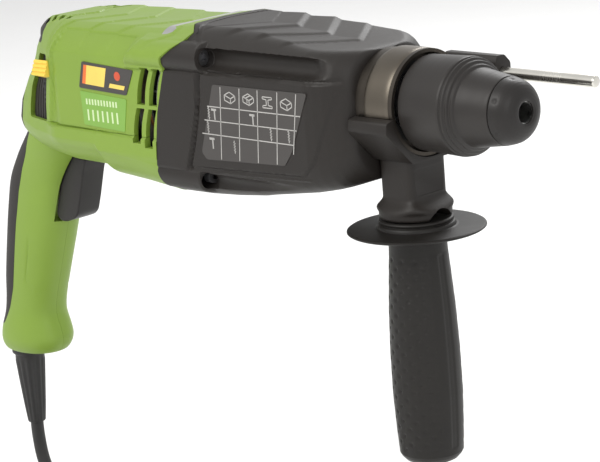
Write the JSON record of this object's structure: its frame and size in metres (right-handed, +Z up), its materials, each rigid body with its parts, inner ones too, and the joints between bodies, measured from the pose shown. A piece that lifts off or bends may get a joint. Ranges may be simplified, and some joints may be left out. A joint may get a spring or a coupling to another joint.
{
  "type": "rotary hammer",
  "caption": "Corded pistol-grip rotary hammer with pull-back bit sleeve, hammer mechanism, side handle, depth rod and coiled mains cord.",
  "frame": {"origin": "mouth of the tool holder's bore, on the tool axis", "axes": "+X forwards along the tool axis, the way a bit leaves the holder; +Z up, away from both handles; -Y is the tool's right-hand side with the reversing lever"},
  "size_m": [0.4355, 0.1959, 0.322],
  "materials": {
    "anthracite_plastic": "moulded, fine satin texture",
    "lime_plastic": "moulded, satin",
    "collar_metal": "turned, dark anodised",
    "grip_rubber": "soft overmould",
    "black_plastic": "moulded, satin",
    "dark_sleeve": "satin",
    "yellow_plastic": "moulded",
    "label_dark": "printed film",
    "label_lime": "printed film",
    "cast_aluminium": "as cast",
    "ground_steel": "ground, oiled",
    "bearing_steel": "polished",
    "rod_steel": "bright drawn",
    "screw_steel": "zinc plated",
    "spring_steel": "oiled",
    "lamination_steel": "stacked sheet",
    "winding_copper": "enamelled wire",
    "commutator_copper": "turned",
    "carbon": "sintered",
    "blue_plastic": "moulded",
    "seal_rubber": "moulded",
    "cord_rubber": "extruded",
    "tie_fabric": "woven hook tape"
  },
  "bodies": {
    "housing": {"gear_housing": "anthracite_plastic", "front_collar": "collar_metal", "motor_housing": "lime_plastic", "handle_shell_right": "lime_plastic", "handle_shell_left": "lime_plastic", "grip_pad": "grip_rubber", "rear_insert": "black_plastic", "bearing_flange": "cast_aluminium", "gear_bridge": "cast_aluminium", "rear_bearing_plate": "black_plastic", "housing_screws": "screw_steel", "handle_screws": "screw_steel", "rating_plate": "label_dark", "name_plate": "label_lime", "mode_label": "label_dark", "stator_core": "lamination_steel", "field_coils": "winding_copper", "ball_bearings": "bearing_steel", "shaft_seal": "seal_rubber", "switch_body": "black_plastic", "cord_guard": "cord_rubber", "trigger_spring": "spring_steel", "cord_lead": "cord_rubber", "cord_coil": "cord_rubber", "cord_tail": "cord_rubber", "cord_tie": "tie_fabric", "plug": "cord_rubber"},
    "armature": {"armature_shaft": "ground_steel", "armature_core": "lamination_steel", "commutator": "commutator_copper", "cooling_fan": "black_plastic"},
    "idler": {"idler_shaft": "ground_steel", "idler_gear": "ground_steel"},
    "wobble": {"wobble_ring": "ground_steel"},
    "piston": {"piston": "cast_aluminium", "piston_pin": "bearing_steel"},
    "striker": {"striker": "ground_steel"},
    "impact_bolt": {"impact_bolt": "ground_steel"},
    "spindle": {"hammer_tube": "ground_steel", "tube_gear": "ground_steel", "clutch_spring": "spring_steel", "clutch_ring": "ground_steel", "lock_balls": "bearing_steel", "dust_cap": "grip_rubber", "sleeve_spring": "spring_steel"},
    "chuck_sleeve": {"locking_sleeve": "dark_sleeve", "lock_ring": "ground_steel"},
    "brush_holder": {"brush_ring": "blue_plastic", "reverse_lever": "yellow_plastic", "lever_shutter": "black_plastic", "carbon_brushes": "carbon"},
    "trigger": {"trigger": "black_plastic"},
    "mode_knob": {"mode_knob": "black_plastic"},
    "side_handle": {"side_clamp": "anthracite_plastic", "clamp_band": "collar_metal", "clamp_bolt": "screw_steel"},
    "side_grip": {"side_grip": "grip_rubber"},
    "depth_rod": {"depth_rod": "rod_steel"},
    "rod_lock": {"rod_lock": "black_plastic"}
  },
  "joints": [
    {"name": "armature_spin", "type": "hinge", "parent": "housing", "child": "armature", "pos_m": [-0.27, 0, -0.009], "axis": [1, 0, 0], "continuous": true},
    {"name": "idler_spin", "type": "hinge", "parent": "housing", "child": "idler", "pos_m": [-0.17, 0, -0.033], "axis": [1, 0, 0], "continuous": true},
    {"name": "spindle_spin", "type": "hinge", "parent": "housing", "child": "spindle", "pos_m": [-0.08, 0, 0], "axis": [1, 0, 0], "continuous": true},
    {"name": "sleeve_pull", "type": "slide", "parent": "spindle", "child": "chuck_sleeve", "axis": [1, 0, 0], "range_m": [-0.008, 0], "stiffness_N_per_m": 1500, "springref_m": 0.006, "deforming": ["sleeve_spring"]},
    {"name": "wobble_tilt", "type": "hinge", "parent": "housing", "child": "wobble", "pos_m": [-0.182, 0, -0.033], "axis": [0, 1, 0], "range_deg": [-13.5, 13.5]},
    {"name": "piston_stroke", "type": "slide", "parent": "housing", "child": "piston", "axis": [1, 0, 0], "range_m": [-0.008, 0.008]},
    {"name": "striker_slide", "type": "slide", "parent": "housing", "child": "striker", "axis": [1, 0, 0], "range_m": [-0.01, 0.0015]},
    {"name": "bolt_slide", "type": "slide", "parent": "housing", "child": "impact_bolt", "axis": [1, 0, 0], "range_m": [-0.003, 0.003]},
    {"name": "reverse_turn", "type": "hinge", "parent": "housing", "child": "brush_holder", "pos_m": [-0.315, 0, -0.009], "axis": [1, 0, 0], "range_deg": [0, 40]},
    {"name": "trigger_pull", "type": "slide", "parent": "housing", "child": "trigger", "axis": [-0.9136, 0, 0.4067], "range_m": [0, 0.006], "stiffness_N_per_m": 1500, "springref_m": -0.003, "deforming": ["trigger_spring"]},
    {"name": "mode_turn", "type": "hinge", "parent": "housing", "child": "mode_knob", "pos_m": [-0.18, 0.045, -0.012], "axis": [0, 1, 0], "range_deg": [-60, 60]},
    {"name": "side_handle_swing", "type": "hinge", "parent": "housing", "child": "side_handle", "pos_m": [-0.076, 0, 0], "axis": [1, 0, 0], "range_deg": [-25, 7]},
    {"name": "side_grip_twist", "type": "hinge", "parent": "side_handle", "child": "side_grip", "pos_m": [-0.076, 0, -0.12], "axis": [0, 0, 1], "continuous": true},
    {"name": "depth_slide", "type": "slide", "parent": "side_handle", "child": "depth_rod", "axis": [1, 0, 0], "range_m": [-0.003, 0.06]},
    {"name": "rod_lock_turn", "type": "hinge", "parent": "side_handle", "child": "rod_lock", "pos_m": [-0.07, 0.055, 0.0072], "axis": [0, 1, 0], "range_deg": [-180, 0]}
  ],
  "couplings": [
    {"joint": "idler_spin", "follows": "armature_spin", "ratio": -0.25},
    {"joint": "spindle_spin", "follows": "armature_spin", "ratio": 0.061321},
    {"joint": "piston_stroke", "follows": "wobble_tilt", "m_per_rad": 0.033}
  ]
}
